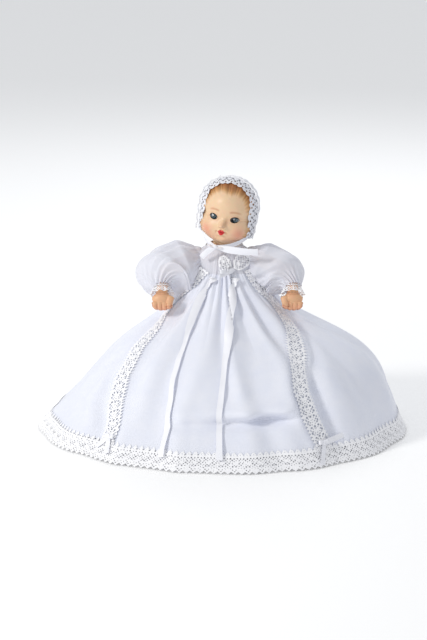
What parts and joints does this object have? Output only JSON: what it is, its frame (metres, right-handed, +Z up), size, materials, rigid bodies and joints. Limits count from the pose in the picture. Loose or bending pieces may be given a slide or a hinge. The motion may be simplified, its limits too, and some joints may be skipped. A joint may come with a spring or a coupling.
{
  "type": "porcelain christening doll",
  "caption": "Jointed porcelain baby doll standing in a long bell-shaped white christening gown with lace bands, puffed sleeves, ribbons and a lace-edged bonnet.",
  "frame": {"origin": "middle of the box round the gown's hem, on the floor it stands on", "axes": "+Z up, -Y the way the doll faces, +X the doll's own left; X is the hem's longest way"},
  "size_m": [0.5185, 0.4424, 0.3582],
  "materials": {
    "bisque": "painted and glazed porcelain",
    "eye_glass": "blown glass eye, opaque, polished",
    "steel_wire": "drawn wire",
    "lead": "dull cast lead",
    "plaster": "matt plaster",
    "turned_wood": "turned beech",
    "fibre_washer": "pressed fibre",
    "elastic": "braided cotton over rubber",
    "organza": "sheer white cotton organdie",
    "cotton": "fine white cotton",
    "lace": "white cotton lace",
    "ribbon": "white satin ribbon",
    "button": "pearl"
  },
  "bodies": {
    "body": {"torso": "bisque", "arm_elastic": "elastic", "leg_elastic": "elastic", "neck_elastic": "elastic", "skirt_front_panel": "organza", "skirt_left_panel": "organza", "skirt_right_panel": "organza", "skirt_back_left_panel": "organza", "skirt_back_right_panel": "organza", "slip": "cotton", "left_lace_band": "lace", "right_lace_band": "lace", "hem_lace": "lace", "left_streamer": "ribbon", "right_streamer": "ribbon", "bodice": "organza", "collar": "lace", "chest_lace": "lace", "chest_bow": "ribbon", "left_hem_bow": "ribbon", "right_hem_bow": "ribbon", "back_button_1": "button", "back_button_2": "button", "back_button_3": "button"},
    "neck": {"neck_button": "turned_wood"},
    "head": {"head": "bisque", "eye_bearing": "plaster", "bonnet": "cotton", "bonnet_lace": "lace", "chin_ribbon": "ribbon"},
    "eyes": {"left_eye": "eye_glass", "right_eye": "eye_glass", "eye_rocker": "steel_wire", "eye_weight": "lead"},
    "left_arm": {"left_arm": "bisque", "left_arm_washer": "fibre_washer", "left_sleeve": "organza", "left_cuff": "lace"},
    "right_arm": {"right_arm": "bisque", "right_arm_washer": "fibre_washer", "right_sleeve": "organza", "right_cuff": "lace"},
    "left_leg": {"left_leg": "bisque", "left_leg_washer": "fibre_washer"},
    "right_leg": {"right_leg": "bisque", "right_leg_washer": "fibre_washer"}
  },
  "joints": [
    {"name": "neck_turn", "type": "hinge", "parent": "body", "child": "neck", "pos_m": [-0.004, 0.024, 0.267], "axis": [0, 0, 1], "range_deg": [-50, 60], "deforming": ["chin_ribbon"]},
    {"name": "neck_nod", "type": "hinge", "parent": "neck", "child": "head", "pos_m": [-0.004, 0.024, 0.267], "axis": [1, 0, 0], "range_deg": [-10, 12], "deforming": ["chin_ribbon"]},
    {"name": "sleep_eyes", "type": "hinge", "parent": "head", "child": "eyes", "pos_m": [-0.0027, 0.00189, 0.30527], "axis": [0.9661, -0.2079, -0.153], "range_deg": [0, 60]},
    {"name": "left_shoulder", "type": "hinge", "parent": "body", "child": "left_arm", "pos_m": [0.037, 0.024, 0.243], "axis": [-1, 0, 0], "range_deg": [0, 110], "deforming": ["left_sleeve", "left_cuff"]},
    {"name": "right_shoulder", "type": "hinge", "parent": "body", "child": "right_arm", "pos_m": [-0.045, 0.024, 0.243], "axis": [-1, 0, 0], "range_deg": [0, 110], "deforming": ["right_sleeve", "right_cuff"]},
    {"name": "left_hip", "type": "hinge", "parent": "body", "child": "left_leg", "pos_m": [0.027, 0.024, 0.146], "axis": [-1, 0, 0], "range_deg": [-25, 40]},
    {"name": "right_hip", "type": "hinge", "parent": "body", "child": "right_leg", "pos_m": [-0.035, 0.024, 0.146], "axis": [-1, 0, 0], "range_deg": [-25, 40]}
  ]
}
